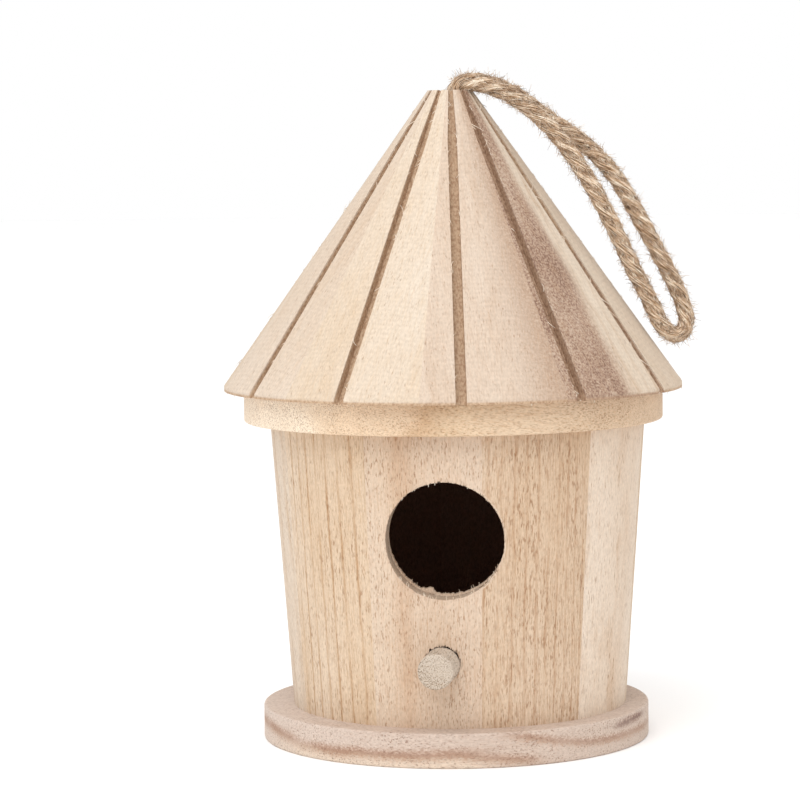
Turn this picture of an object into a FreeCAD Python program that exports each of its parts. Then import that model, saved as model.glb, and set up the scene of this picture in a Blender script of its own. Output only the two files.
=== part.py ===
import FreeCAD, Part
import math
import os

# A small round birdhouse in plain wood. Ten tapered staves are glued into a ring and turned round
# outside. They stand on a base disc and carry a ceiling plate. The roof is ten glued staves, turned
# to a cone and grooved with a saw. A rope loop, knotted inside the roof, hangs the house.
# The origin is the centre of the base's underside, +Z is up, and the entrance faces -Y.
# Lengths are in millimetres and angles in degrees. An azimuth turns from the front, -Y, towards +X.

os.makedirs("parts", exist_ok=True)

# Base disc
BASE_LEDGE = 6.95
BASE_THICKNESS = 8.9
DISC_EDGE_ROUND = 0.6

# Coopered body, glued down a little off the other parts' axis, towards +X
BODY_HEIGHT = 74.6
BODY_BOTTOM_DIAMETER = 87.6
BODY_TOP_DIAMETER = 98.2
BODY_WALL = 10.0
STAVE_COUNT = 10
BODY_SEAM_AZIMUTH = 11.6
BODY_OFF_CENTRE = 1.05

# Entrance and perch, on the body's front. The perch is set aside from the body's middle and
# swings out of square, as a dowel glued by hand does.
ENTRANCE_DIAMETER = 30.0
PERCH_DIAMETER = 9.0
PERCH_STANDS_OUT = 11.0
PERCH_END_ROUND = 0.6
PERCH_FIT = 0.05
PERCH_ASIDE = -1.05
PERCH_SWING = -4.0

# Ceiling plate between body and roof
PLATE_LEDGE = 5.8
PLATE_THICKNESS = 8.2

# Roof cone
EAVES_OVERHANG = 5.1
ROOF_HEIGHT = 77.6
ROOF_TIP_DIAMETER = 11.6
ROOF_RIM_HEIGHT = 1.2
ROOF_WALL = 10.0
ROOF_SEAM_AZIMUTH = -3.5
GROOVE_COUNT = 12
GROOVE_AZIMUTH = 6.4
GROOVE_WIDTH_AT_EAVES = 2.8
GROOVE_WIDTH_AT_SHOULDER = 2.4
GROOVE_WIDTH_AT_TIP = 0.7
GROOVE_DEPTH_AT_EAVES = 2.5
GROOVE_DEPTH_AT_SHOULDER = 2.0
GROOVE_DEPTH_AT_TIP = 0.7
GROOVE_SHOULDER_BELOW_TIP = 12.8

# Rope: three-strand jute, squeezed where its two legs pass the bore side by side
ROPE_DIAMETER = 5.0
ROPE_DIAMETER_IN_BORE = 4.2
ROPE_TURNING_CLEARANCE = 0.4
ROPE_LEG_GAP = 0.1
KNOT_DIAMETER = 12.6
KNOT_CLEARANCE = 0.4
TAIL_LENGTH = 14.0
TAIL_SPLAY = 14.0
LIFT_JOINT_GAP = 0.3
BORE_LEG_OFFSET = (ROPE_DIAMETER_IN_BORE + ROPE_LEG_GAP) / 2

# The loop's centreline, (x, y, z) from the centre of the bore's mouth. It leaves the bore, flops
# over towards +X, folds back at its far end and returns beside itself.
ROPE_ROUTE = [
    (0.0, -BORE_LEG_OFFSET, -5.0),
    (0.0, -BORE_LEG_OFFSET, 0.0),
    (3.8, -2.4, 3.2),
    (9.2, -2.6, 2.5),
    (15.6, -2.7, -0.2),
    (22.2, -2.8, -5.6),
    (29.6, -2.9, -13.6),
    (36.2, -3.1, -23.8),
    (42.7, -3.3, -34.6),
    (47.8, -3.5, -45.4),
    (52.6, -3.6, -54.6),
    (55.9, -3.6, -63.4),
    (60.2, 0.0, -64.4),
    (61.9, 3.6, -60.3),
    (59.7, 3.5, -52.4),
    (54.7, 3.3, -42.8),
    (49.2, 3.2, -32.4),
    (42.6, 3.1, -22.2),
    (33.6, 3.0, -14.4),
    (25.0, 2.8, -8.2),
    (17.4, 2.7, -0.9),
    (9.8, 2.6, 2.9),
    (4.0, 2.4, 3.6),
    (0.0, BORE_LEG_OFFSET, 0.2),
    (0.0, BORE_LEG_OFFSET, -5.0),
]
ROUTE_ARC_SHARE = 0.45
LIFT_SPLIT_RUN = 3

# Sizes and heights that follow from the values above
BASE_DIAMETER = BODY_BOTTOM_DIAMETER + 2 * BASE_LEDGE
PLATE_DIAMETER = BODY_TOP_DIAMETER + 2 * PLATE_LEDGE
ROOF_DIAMETER = PLATE_DIAMETER + 2 * EAVES_OVERHANG
BODY_FOOT_Z = BASE_THICKNESS
PLATE_Z = BODY_FOOT_Z + BODY_HEIGHT
EAVES_Z = PLATE_Z + PLATE_THICKNESS
TIP_Z = EAVES_Z + ROOF_HEIGHT
BODY_FLARE = (BODY_TOP_DIAMETER - BODY_BOTTOM_DIAMETER) / 2 / BODY_HEIGHT
FRONT_GAP = (BODY_HEIGHT - ENTRANCE_DIAMETER - PERCH_DIAMETER) / 3
ENTRANCE_Z = PLATE_Z - FRONT_GAP - ENTRANCE_DIAMETER / 2
PERCH_Z = BODY_FOOT_Z + FRONT_GAP + PERCH_DIAMETER / 2
STAVE_ANGLE = 360.0 / STAVE_COUNT
CONE_HEIGHT = ROOF_HEIGHT - ROOF_RIM_HEIGHT
CONE_RUN = (ROOF_DIAMETER - ROOF_TIP_DIAMETER) / 2
CONE_SLANT = math.hypot(CONE_HEIGHT, CONE_RUN)
ROOF_WALL_ACROSS = ROOF_WALL * CONE_SLANT / CONE_HEIGHT
BORE_RADIUS = BORE_LEG_OFFSET + ROPE_DIAMETER_IN_BORE / 2 + ROPE_TURNING_CLEARANCE
CUT_BEYOND = 5.0

UP = FreeCAD.Vector(0, 0, 1)


def on_axis(z):
    return FreeCAD.Vector(0, 0, z)


def outward(azimuth):
    turn = math.radians(azimuth)
    return FreeCAD.Vector(math.sin(turn), -math.cos(turn), 0)


def save(name, shape):
    shape.exportStep(f"parts/{name}.step")


def disc(diameter, thickness, z):
    blank = Part.makeCylinder(diameter / 2, thickness, on_axis(z))
    rims = [edge for edge in blank.Edges if isinstance(edge.Curve, Part.Circle)]
    return blank.makeFillet(DISC_EDGE_ROUND, rims)


def flat_face(corners):
    return Part.Face(Part.makePolygon(corners + corners[:1]))


def flat_sided(low_corners, high_corners):
    """The solid between two outlines with the same number of corners and parallel sides."""
    faces = [flat_face(low_corners), flat_face(high_corners)]
    for i in range(len(low_corners)):
        faces.append(flat_face([low_corners[i - 1], low_corners[i], high_corners[i], high_corners[i - 1]]))
    return Part.makeSolid(Part.makeShell(faces))


def stave_corners(apothem, z, seam_azimuth):
    """The many-sided outline whose corners lie on the glue seams."""
    corner_radius = apothem / math.cos(math.radians(STAVE_ANGLE / 2))
    corners = []
    for i in range(STAVE_COUNT):
        corners.append(on_axis(z) + outward(seam_azimuth + STAVE_ANGLE * i) * corner_radius)
    return corners


def hollow(low_apothem, low_z, high_apothem, high_z, seam_azimuth):
    """The flat-sided space inside a ring of staves."""
    low = stave_corners(low_apothem, low_z, seam_azimuth)
    high = stave_corners(high_apothem, high_z, seam_azimuth)
    return flat_sided(low, high)


def stave_sector(i, seam_azimuth, reach, low_z, high_z):
    """The wedge of space that belongs to one stave. Number 0 is in front, left of the first seam."""
    start = seam_azimuth + STAVE_ANGLE * (i - 1)
    far = reach / math.cos(math.radians(STAVE_ANGLE / 2))
    first = on_axis(low_z) + outward(start) * far
    second = on_axis(low_z) + outward(start + STAVE_ANGLE) * far
    return flat_face([on_axis(low_z), first, second]).extrude(UP * (high_z - low_z))


def front_bore(diameter, z):
    """A horizontal drill from outside the front to the middle of the house."""
    reach = BODY_TOP_DIAMETER / 2 + CUT_BEYOND
    return Part.makeCylinder(diameter / 2, reach, FreeCAD.Vector(0, -reach, z), FreeCAD.Vector(0, 1, 0))


def perch_set(shape):
    """A shape on the body's front, moved aside and swung about the wall's outer face, as the perch is."""
    shape.rotate(FreeCAD.Vector(0, -body_radius(PERCH_Z), 0), FreeCAD.Vector(0, 0, 1), PERCH_SWING)
    shape.translate(FreeCAD.Vector(PERCH_ASIDE, 0, 0))
    return shape


def body_set(shape):
    """A shape made on the body's own axis, moved to where the body is glued down."""
    shape.translate(FreeCAD.Vector(BODY_OFF_CENTRE, 0, 0))
    return shape


def body_radius(z):
    return BODY_BOTTOM_DIAMETER / 2 + BODY_FLARE * (z - BODY_FOOT_Z)


def body_ring():
    outside = Part.makeCone(
        BODY_BOTTOM_DIAMETER / 2, BODY_TOP_DIAMETER / 2, BODY_HEIGHT, on_axis(BODY_FOOT_Z)
    )
    low_z = BODY_FOOT_Z - CUT_BEYOND
    high_z = PLATE_Z + CUT_BEYOND
    inside = hollow(
        body_radius(low_z) - BODY_WALL, low_z, body_radius(high_z) - BODY_WALL, high_z, BODY_SEAM_AZIMUTH
    )
    ring = outside.cut(inside)
    ring = ring.cut(front_bore(ENTRANCE_DIAMETER, ENTRANCE_Z))
    return ring.cut(perch_set(front_bore(PERCH_DIAMETER + 2 * PERCH_FIT, PERCH_Z)))


def body_stave(ring, i):
    return body_set(ring.common(stave_sector(i, BODY_SEAM_AZIMUTH, BODY_TOP_DIAMETER, BODY_FOOT_Z, PLATE_Z)))


def perch_dowel():
    """The dowel runs through the wall, flush inside, and stands out in front."""
    inner_face = body_radius(PERCH_Z) - BODY_WALL
    outer_end = body_radius(PERCH_Z) + PERCH_STANDS_OUT
    foot = FreeCAD.Vector(0, -outer_end, PERCH_Z)
    dowel = Part.makeCylinder(PERCH_DIAMETER / 2, outer_end, foot, FreeCAD.Vector(0, 1, 0))
    front_rim = [edge for edge in dowel.Edges if edge.BoundBox.YMax < -outer_end + PERCH_END_ROUND]
    dowel = perch_set(dowel.makeFillet(PERCH_END_ROUND, front_rim))
    inside = hollow(
        inner_face - BODY_FLARE * (PERCH_Z - BODY_FOOT_Z),
        BODY_FOOT_Z,
        inner_face + BODY_FLARE * (PLATE_Z - PERCH_Z),
        PLATE_Z,
        BODY_SEAM_AZIMUTH,
    )
    return body_set(dowel.cut(inside))


def roof_radius(height):
    """The cone's outside radius at a height above the eaves, with the slope carried on below the rim."""
    return ROOF_DIAMETER / 2 - CONE_RUN * (height - ROOF_RIM_HEIGHT) / CONE_HEIGHT


def hollow_height(apothem):
    """The height above the eaves where the roof's hollow has this apothem."""
    return ROOF_RIM_HEIGHT + (ROOF_DIAMETER / 2 - ROOF_WALL_ACROSS - apothem) * CONE_HEIGHT / CONE_RUN


def roof_groove(azimuth):
    """A saw kerf down the slope in two lengths: nearly even up to its shoulder, then narrowing to the tip."""
    radial = outward(azimuth)
    across = UP.cross(radial)
    slope_normal = (radial * CONE_HEIGHT + UP * CONE_RUN).normalize()
    ends = []
    for height, width, depth in [
        (-CUT_BEYOND, GROOVE_WIDTH_AT_EAVES, GROOVE_DEPTH_AT_EAVES),
        (ROOF_HEIGHT - GROOVE_SHOULDER_BELOW_TIP, GROOVE_WIDTH_AT_SHOULDER, GROOVE_DEPTH_AT_SHOULDER),
        (ROOF_HEIGHT + CUT_BEYOND, GROOVE_WIDTH_AT_TIP, GROOVE_DEPTH_AT_TIP),
    ]:
        middle = on_axis(EAVES_Z + height) + radial * roof_radius(height)
        corners = []
        for side, level in [(-1, -depth), (1, -depth), (1, CUT_BEYOND), (-1, CUT_BEYOND)]:
            corners.append(middle + across * (side * width / 2) + slope_normal * level)
        ends.append(corners)
    return [flat_sided(lower, upper) for lower, upper in zip(ends, ends[1:])]


def roof_cone():
    rim = Part.makeCylinder(ROOF_DIAMETER / 2, ROOF_RIM_HEIGHT, on_axis(EAVES_Z))
    cone = Part.makeCone(
        ROOF_DIAMETER / 2, ROOF_TIP_DIAMETER / 2, CONE_HEIGHT, on_axis(EAVES_Z + ROOF_RIM_HEIGHT)
    )
    bore_foot = hollow_height(BORE_RADIUS)
    inside = hollow(
        roof_radius(-CUT_BEYOND) - ROOF_WALL_ACROSS,
        EAVES_Z - CUT_BEYOND,
        BORE_RADIUS,
        EAVES_Z + bore_foot,
        ROOF_SEAM_AZIMUTH,
    )
    bore = Part.makeCylinder(BORE_RADIUS, ROOF_HEIGHT, on_axis(EAVES_Z + bore_foot - CUT_BEYOND))
    roof = rim.fuse(cone).removeSplitter().cut(inside).cut(bore)
    for i in range(GROOVE_COUNT):
        for length in roof_groove(GROOVE_AZIMUTH + 360.0 / GROOVE_COUNT * i):
            roof = roof.cut(length)
    return roof


def roof_stave(cone, i):
    return cone.common(stave_sector(i, ROOF_SEAM_AZIMUTH, ROOF_DIAMETER, EAVES_Z, TIP_Z))


def knot_z():
    """The knot hangs on the hollow's sloping sides, just under the bore."""
    apothem = (KNOT_DIAMETER / 2 + KNOT_CLEARANCE) * CONE_SLANT / CONE_HEIGHT
    return EAVES_Z + hollow_height(apothem)


def rope_knot():
    return Part.makeSphere(KNOT_DIAMETER / 2, on_axis(knot_z()))


def rope_tails(knot):
    """The two cut ends of the rope under the knot."""
    tails = []
    for side in (-1, 1):
        splay = math.radians(TAIL_SPLAY)
        down = FreeCAD.Vector(0, side * math.sin(splay), -math.cos(splay))
        root = on_axis(knot_z()) + FreeCAD.Vector(0, side * ROPE_DIAMETER / 2, 0)
        tail = Part.makeCylinder(ROPE_DIAMETER / 2, KNOT_DIAMETER / 2 + TAIL_LENGTH, root, down)
        tails.append(tail.cut(knot))
    return Part.makeCompound(tails)


def route_parts():
    """The route's straight bits, the middles of the arcs between them, and the arcs' radii."""
    points = [on_axis(TIP_Z) + FreeCAD.Vector(*point) for point in ROPE_ROUTE]
    starts = [points[0]]
    ends = []
    middles = []
    radii = []
    for before, corner, after in zip(points, points[1:], points[2:]):
        coming = corner - before
        going = after - corner
        half_turn = coming.getAngle(going) / 2
        tangent = ROUTE_ARC_SHARE * min(coming.Length, going.Length)
        radius = tangent / math.tan(half_turn)
        coming.normalize()
        going.normalize()
        inward = (going - coming).normalize()
        ends.append(corner - coming * tangent)
        starts.append(corner + going * tangent)
        middles.append(corner + inward * (radius / math.cos(half_turn) - radius))
        radii.append(radius)
    ends.append(points[-1])
    return list(zip(starts, ends)), middles, radii


def route_wire(straights, middles):
    edges = [Part.LineSegment(*straights[0]).toShape()]
    for (_, arc_start), (arc_end, end), middle in zip(straights, straights[1:], middles):
        edges.append(Part.Arc(arc_start, middle, arc_end).toShape())
        edges.append(Part.LineSegment(arc_end, end).toShape())
    return Part.Wire(edges)


def tube(straights, middles, diameter):
    start, end = straights[0]
    section = Part.Wire(Part.Circle(start, end - start, diameter / 2).toShape())
    return route_wire(straights, middles).makePipeShell([section], True, False)


def shortened(straight, from_share, to_share):
    start, end = straight
    return start + (end - start) * from_share, start + (end - start) * to_share


def gap_share(straight):
    start, end = straight
    return LIFT_JOINT_GAP / (end - start).Length


def rope_pieces(knot):
    """The two legs in the bore with their bends over its mouth, and the loop that lifts."""
    straights, middles, radii = route_parts()
    first = LIFT_SPLIT_RUN
    last = len(straights) - 1 - LIFT_SPLIT_RUN
    legs = [straights[:first] + [shortened(straights[first], 0, 0.5)]]
    legs.append([shortened(straights[last], 0.5, 1)] + straights[last + 1 :])
    leg_middles = [middles[:first], middles[last:]]
    stems = []
    for leg, bends in zip(legs, leg_middles):
        mouth_end = min(leg[0][0], leg[-1][1], key=lambda point: point.z)
        foot = FreeCAD.Vector(mouth_end.x, mouth_end.y, knot_z())
        in_bore = Part.makeCylinder(ROPE_DIAMETER_IN_BORE / 2, mouth_end.z - foot.z, foot)
        whole = tube(leg, bends, ROPE_DIAMETER_IN_BORE).fuse(in_bore).removeSplitter()
        stems.append(whole.cut(knot))
    loop_straights = [shortened(straights[first], 0.5 + gap_share(straights[first]), 1)]
    loop_straights += straights[first + 1 : last]
    loop_straights.append(shortened(straights[last], 0, 0.5 - gap_share(straights[last])))
    loop = tube(loop_straights, middles[first:last], ROPE_DIAMETER)
    print("rope arc radii, mm:", ", ".join(f"{radius:.1f}" for radius in radii))
    length = sum(edge.Length for edge in route_wire(straights, middles).Edges)
    print(f"rope centreline outside and in the mouth: {length:.1f} mm")
    return Part.makeCompound(stems), loop


def build():
    save("base_disc", disc(BASE_DIAMETER, BASE_THICKNESS, 0))
    save("ceiling_plate", disc(PLATE_DIAMETER, PLATE_THICKNESS, PLATE_Z))
    save("perch_dowel", perch_dowel())
    ring = body_ring()
    cone = roof_cone()
    for i in range(STAVE_COUNT):
        save(f"body_stave_{i + 1:02d}", body_stave(ring, i))
        save(f"roof_stave_{i + 1:02d}", roof_stave(cone, i))
    knot = rope_knot()
    save("rope_knot", knot)
    save("rope_tails", rope_tails(knot))
    stems, loop = rope_pieces(knot)
    save("rope_stem", stems)
    save("rope_loop", loop)


build()
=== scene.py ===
import math
import random

import bmesh
import bpy
from mathutils import Matrix, Vector, noise


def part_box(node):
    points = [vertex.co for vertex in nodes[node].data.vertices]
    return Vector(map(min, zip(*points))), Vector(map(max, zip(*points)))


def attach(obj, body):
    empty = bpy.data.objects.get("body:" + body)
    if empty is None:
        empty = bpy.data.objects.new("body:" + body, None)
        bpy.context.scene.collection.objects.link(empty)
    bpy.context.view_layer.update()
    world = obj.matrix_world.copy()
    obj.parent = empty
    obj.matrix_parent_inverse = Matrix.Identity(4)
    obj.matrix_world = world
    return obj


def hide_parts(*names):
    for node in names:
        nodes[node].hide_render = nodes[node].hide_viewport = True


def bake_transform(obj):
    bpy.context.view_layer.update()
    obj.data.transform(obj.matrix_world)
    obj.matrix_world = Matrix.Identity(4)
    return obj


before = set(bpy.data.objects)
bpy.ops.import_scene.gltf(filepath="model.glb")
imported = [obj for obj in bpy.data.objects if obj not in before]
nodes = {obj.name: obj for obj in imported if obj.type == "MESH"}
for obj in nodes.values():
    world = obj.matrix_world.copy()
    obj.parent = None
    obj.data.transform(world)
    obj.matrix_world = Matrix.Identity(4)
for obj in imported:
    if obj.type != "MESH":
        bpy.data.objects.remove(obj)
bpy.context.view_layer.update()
mm = 0.001

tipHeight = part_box("roof_stave_01")[1].z  # the roof's tip, where the rope comes out


# Camera

cameraPlace = {
    "azimuth": 4.5,  # degrees round from the front
    "distance": 836.6 * mm,
    "aside": -0.55 * mm,
    "height": 155.3 * mm,
    "yaw": 0.016,  # radians, as pitch and roll
    "pitch": 0.0798,
    "roll": 0.0118,
    "lens": 143.7,
    "sensor": 36.0,
}


def placeCamera(place):
    turn = math.radians(place["azimuth"])
    right = Vector((math.cos(turn), math.sin(turn), 0))
    ahead = Vector((-math.sin(turn), math.cos(turn), 0))
    eye = place["aside"] * right - place["distance"] * ahead + Vector((0, 0, place["height"]))
    level = -math.sin(place["yaw"]) * right + math.cos(place["yaw"]) * ahead
    forward = math.cos(place["pitch"]) * level - Vector((0, 0, math.sin(place["pitch"])))
    side = level.cross(Vector((0, 0, 1))).normalized()
    up = side.cross(forward)
    roll = place["roll"]
    across = math.cos(roll) * side - math.sin(roll) * up
    upright = math.sin(roll) * side + math.cos(roll) * up
    data = bpy.data.cameras.new("camera")
    data.lens = place["lens"]
    data.sensor_width = place["sensor"]
    data.clip_end = 20
    made = bpy.data.objects.new("camera", data)
    bpy.context.scene.collection.objects.link(made)
    turned = Matrix((across, upright, -forward)).transposed()
    made.matrix_world = Matrix.Translation(eye) @ turned.to_4x4()
    bpy.context.scene.camera = made


placeCamera(cameraPlace)
bpy.context.scene.view_settings.view_transform = "Standard"
print("camera placed")


# Shared by every material and piece

def linear(colour):
    # "#rrggbb" or "#rrggbbaa", as sRGB
    *parts, alpha = [int(colour[i:i + 2] or "ff", 16) / 255 for i in (1, 3, 5, 7)]
    return [p / 12.92 if p <= 0.04045 else ((p + 0.055) / 1.055) ** 2.4 for p in parts] + [alpha]


def addNode(tree, kind, settings=None, links=None):
    # Settings are the node's own properties or its sockets; links take a node or one of its outputs.
    made = tree.nodes.new(kind)
    for name, value in (settings or {}).items():
        if name == "stops":
            ramp = made.color_ramp.elements
            while len(ramp) < len(value):
                ramp.new(0.5)
            for stop, (at, colour) in zip(ramp, value):
                stop.position, stop.color = at, linear(colour)
        elif isinstance(name, str) and hasattr(made, name):
            setattr(made, name, value)
        else:
            socket(made, name).default_value = value
    for name, source in (links or {}).items():
        if isinstance(source, bpy.types.Node):
            source = next(o for o in source.outputs if o.enabled)
        tree.links.new(source, socket(made, name))
    return made


def socket(made, name):
    if isinstance(name, int):
        return made.inputs[name]
    return next(s for s in made.inputs if s.name == name and s.enabled)


def newMaterial(name):
    made = bpy.data.materials.new(name)
    made.use_nodes = True
    made.node_tree.nodes.clear()
    return made


def paint(piece, *materials):
    piece.data.materials.clear()
    for material in materials:
        piece.data.materials.append(material)


def addPiece(name, mesh, *materials):
    piece = bpy.data.objects.new(name, mesh)
    bpy.context.scene.collection.objects.link(piece)
    paint(piece, *materials)
    return piece


def evenly(points, step):
    # The same line with its points a step apart.
    out, carried = [points[0].copy()], 0.0
    for a, b in zip(points, points[1:]):
        run = (b - a).length
        while run > 0 and carried + run >= step:
            a = a.lerp(b, (step - carried) / run)
            out.append(a.copy())
            run, carried = (b - a).length, 0.0
        carried += run
    return out


def framesAlong(points):
    # A tangent and two normals at each point, turning as little as they can.
    out, normal = [], None
    for i, point in enumerate(points):
        tangent = (points[min(i + 1, len(points) - 1)] - points[max(i - 1, 0)]).normalized()
        if normal is None:
            normal = tangent.orthogonal().normalized()
        normal = (normal - normal.dot(tangent) * tangent).normalized()
        out.append((point, tangent, normal, tangent.cross(normal)))
    return out


def tubesMesh(name, lines, thickness, roundness, caps=True):
    # Each line is a list of (point, share of the thickness).
    curve = bpy.data.curves.new(name, "CURVE")
    curve.dimensions = "3D"
    curve.bevel_depth = thickness
    curve.bevel_resolution = roundness
    curve.use_fill_caps = caps
    for line in lines:
        spline = curve.splines.new("POLY")
        spline.points.add(len(line) - 1)
        for point, (at, share) in zip(spline.points, line):
            point.co = (*at, 1)
            point.radius = share
    drawn = bpy.data.objects.new(name, curve)
    bpy.context.scene.collection.objects.link(drawn)
    bpy.context.view_layer.update()
    graph = bpy.context.evaluated_depsgraph_get()
    mesh = bpy.data.meshes.new_from_object(drawn.evaluated_get(graph))
    bpy.data.objects.remove(drawn)
    return mesh


# Jute rope: three strands laid together, left-handed, with loose fibres all over it

rope = {
    "diameter": 5.0 * mm,
    "strandRadius": 1.2 * mm,
    "strandOffset": 1.02 * mm,
    "pitch": 15.0 * mm,  # one turn of a strand round the rope
    "step": 0.5 * mm,
    "boreShare": 0.84,  # squeezed where it goes down the bore
    "yarnTwist": 0.055,  # radians a step, inside each strand
    "hairThickness": 0.08 * mm,
    "hairRoot": 1.85 * mm,  # how far from the rope's middle the loose fibres start
    # How many fibres, how long in mm, how far off the rope they end, and how much they lean across it.
    "lying": (3600, (2.0, 6.5), (0.02, 0.5), 1.3),
    "hairs": (1500, (1.2, 4.5), (0.5, 1.7), 0.5),
    "strays": (40, (4.5, 8.0), (1.0, 1.9), 0.5),
    # From the bore's mouth, in mm: out of the bore, over the roof's edge, down to the fold and back.
    "route": [
        (1.0, -2.15, -5), (1.0, -2.15, -0.8), (2.9, -2.4, 2.2), (9.0, -2.6, 1.4), (15.2, -2.7, -1.0),
        (22.2, -2.8, -5.8), (29.6, -2.9, -13.6), (36.2, -3.1, -23.8), (42.0, -3.3, -34.6),
        (46.8, -3.5, -45.4), (51.6, -3.6, -54.6), (55.6, -3.6, -63.4), (60.2, 0, -64.4),
        (61.5, 3.6, -60.3), (58.9, 3.5, -52.4), (53.9, 3.3, -42.8), (48.4, 3.2, -32.4),
        (42.6, 3.1, -22.0), (34.2, 3.0, -13.4), (25.2, 2.8, -7.6), (17.4, 2.7, -1.3),
        (9.8, 2.6, 1.9), (3.6, 2.4, 2.6), (1.0, 2.15, -0.6), (1.0, 2.15, -5),
    ],
}


def ropeLine(route):
    curve = bpy.data.curves.new("ropeLine", "CURVE")
    curve.dimensions = "3D"
    curve.resolution_u = 24
    spline = curve.splines.new("NURBS")
    spline.points.add(len(route) - 1)
    for point, (x, y, z) in zip(spline.points, route):
        point.co = (x * mm, y * mm, z * mm + tipHeight, 1)
    spline.order_u = 3
    spline.use_endpoint_u = True
    drawn = bpy.data.objects.new("ropeLine", curve)
    bpy.context.scene.collection.objects.link(drawn)
    bpy.context.view_layer.update()
    graph = bpy.context.evaluated_depsgraph_get()
    mesh = bpy.data.meshes.new_from_object(drawn.evaluated_get(graph))
    points = [v.co.copy() for v in mesh.vertices]
    bpy.data.objects.remove(drawn)
    bpy.data.meshes.remove(mesh)
    return points


def juteMaterial():
    # Jute twine, spun and laid but not polished: matt and straw brown, with paler and darker fibres along it.
    made = newMaterial("jute_twine")
    tree = made.node_tree
    lay = addNode(tree, "ShaderNodeAttribute", {"attribute_name": "strandLay"})
    lie = addNode(tree, "ShaderNodeMapping", {"Scale": (1000, 1000, 1000)}, {"Vector": lay.outputs["Vector"]})
    fine = addNode(tree, "ShaderNodeMapping", {"Scale": (4.4, 4.4, 0.3)}, {"Vector": lie})
    fibre = addNode(
        tree, "ShaderNodeTexNoise", {"Scale": 1.0, "Detail": 4.0, "Roughness": 0.65}, {"Vector": fine}
    )
    slow = addNode(tree, "ShaderNodeMapping", {"Scale": (0.3, 0.3, 0.09)}, {"Vector": lie})
    patch = addNode(tree, "ShaderNodeTexNoise", {"Scale": 1.0, "Detail": 2.0}, {"Vector": slow})
    tone = addNode(
        tree, "ShaderNodeValToRGB",
        {"stops": [(0.37, "#38261a"), (0.45, "#987856"), (0.53, "#e2c5a7"), (0.6, "#fffaec")]},
        {"Fac": fibre},
    )
    patchTone = addNode(
        tree, "ShaderNodeValToRGB", {"stops": [(0.35, "#d8c5b0"), (0.65, "#f8f1e8")]}, {"Fac": patch}
    )
    mixed = addNode(
        tree, "ShaderNodeMix", {"data_type": "RGBA", "blend_type": "MULTIPLY", "Factor": 0.55},
        {"A": tone, "B": patchTone},
    )
    rough = addNode(
        tree, "ShaderNodeMapRange", {"From Min": 0.3, "From Max": 0.7, "To Min": 0.92, "To Max": 0.7},
        {"Value": fibre},
    )
    bump = addNode(tree, "ShaderNodeBump", {"Strength": 0.9, "Distance": 0.3 * mm}, {"Height": fibre})
    shader = addNode(
        tree, "ShaderNodeBsdfPrincipled",
        {"IOR": 1.5, "Sheen Weight": 0.25, "Sheen Roughness": 0.5, "Specular IOR Level": 0.3},
        {"Base Color": mixed, "Roughness": rough, "Normal": bump},
    )
    addNode(tree, "ShaderNodeOutputMaterial", {}, {"Surface": shader})
    return made


def fibreLines(rng, bed, count, length, lift, across, share):
    # Loose hairs: each starts on the rope's surface, runs mostly along it and curls away.
    lines = []
    for _ in range(count):
        point, tangent, normal, other = bed[rng.randrange(len(bed))]
        turn = rng.uniform(0, math.tau)
        out = math.cos(turn) * normal + math.sin(turn) * other
        aside = tangent.cross(out)
        way = rng.choice((-1, 1))
        long, rise = rng.uniform(*length), rng.uniform(*lift)
        lean, curl = rng.uniform(-across, across), rng.uniform(-0.5, 0.5)
        line = []
        for i in range(5):
            t = i / 4
            at = point + out * (rope["hairRoot"] + rise * mm * (t ** (1.2 + curl)))
            at += tangent * way * long * mm * t * (1 - 0.35 * t) + aside * lean * long * mm * 0.5 * t * t
            line.append((at, share * (1 - 0.7 * t)))
        lines.append(line)
    return lines


def strandLines(bed):
    strands = []
    for k in range(3):
        line = []
        for i, (point, tangent, normal, other) in enumerate(bed):
            turn = -math.tau * (i * rope["step"] / rope["pitch"] + k / 3)
            inBore = point.z < tipHeight - 1 * mm and point.x < 4 * mm
            squeezed = rope["boreShare"] if inBore else 1.0
            loose = 1 + 0.05 * noise.noise(Vector((i * 0.03, k * 9.0, 2.0)))
            out = math.cos(turn) * normal + math.sin(turn) * other
            line.append((point + out * rope["strandOffset"] * squeezed * loose, squeezed * loose))
        strands.append(line)
    return strands


def strandsMesh(bed):
    # Each strand's surface gets the ridges of its yarn, and its own lengthwise place for the finish.
    strands = strandLines(bed)
    mesh = tubesMesh("strands", strands, rope["strandRadius"], 4)
    perStrand = len(mesh.vertices) // len(strands)
    sides = perStrand // len(bed)
    lay = mesh.attributes.new("strandLay", "FLOAT_VECTOR", "POINT")
    for v in mesh.vertices:
        k, rest = divmod(v.index, perStrand)
        i, side = divmod(rest, sides)
        i = min(i, len(bed) - 1)
        turn = math.tau * side / sides + i * rope["yarnTwist"]
        lay.data[v.index].vector = (
            1.3 * mm * math.cos(turn) + 9 * mm * k, 1.3 * mm * math.sin(turn), i * rope["step"],
        )
        centre = strands[k][i][0]
        ridges = noise.noise(Vector((math.cos(turn) * 3.2 + k * 7, math.sin(turn) * 3.2, i * 0.045)))
        fine = noise.noise(Vector((math.cos(turn) * 7 + k * 7, math.sin(turn) * 7, i * 0.11)))
        v.co = centre + (v.co - centre) * (1 + 0.11 * ridges + 0.07 * fine)
    return mesh


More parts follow.
